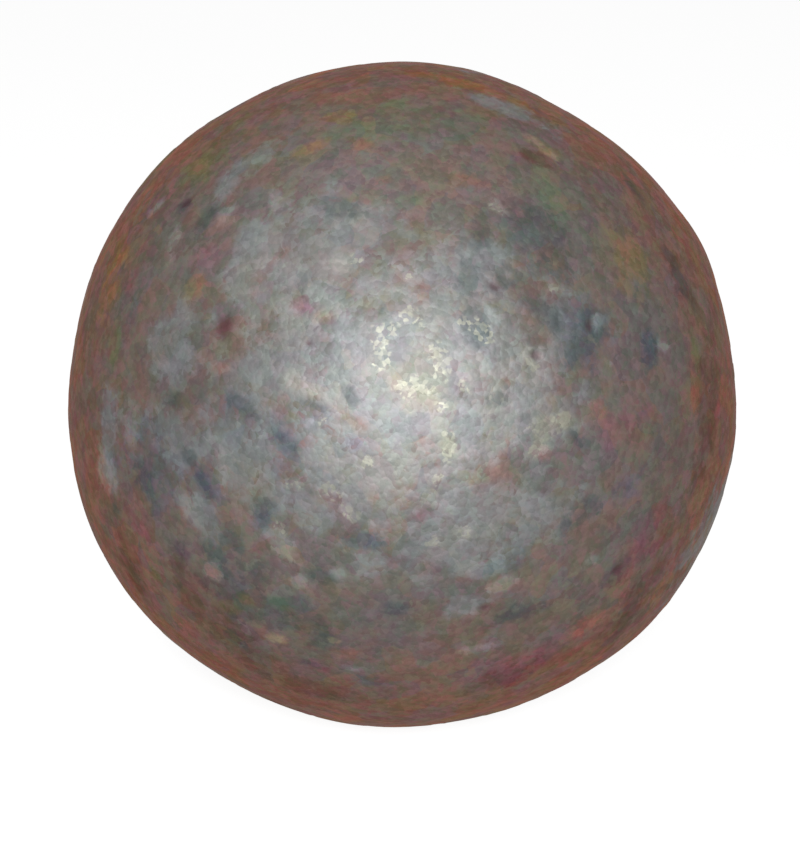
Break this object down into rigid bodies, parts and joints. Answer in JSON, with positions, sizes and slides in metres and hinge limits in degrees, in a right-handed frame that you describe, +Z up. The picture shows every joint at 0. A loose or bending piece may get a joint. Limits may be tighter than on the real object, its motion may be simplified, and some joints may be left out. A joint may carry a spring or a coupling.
{
  "type": "steel ball",
  "caption": "Solid forged steel ball with dark mill scale, slightly out of round with broad crowned flats and shallow scale pits.",
  "frame": {"origin": "centre of the ball", "axes": "+Z up; the face that is turned to the front is at -Y, and +X is to its right"},
  "size_m": [0.0503, 0.0504, 0.0504],
  "materials": {
    "forged_steel": "satin"
  },
  "bodies": {
    "root": {"ball": "forged_steel"}
  },
  "joints": []
}
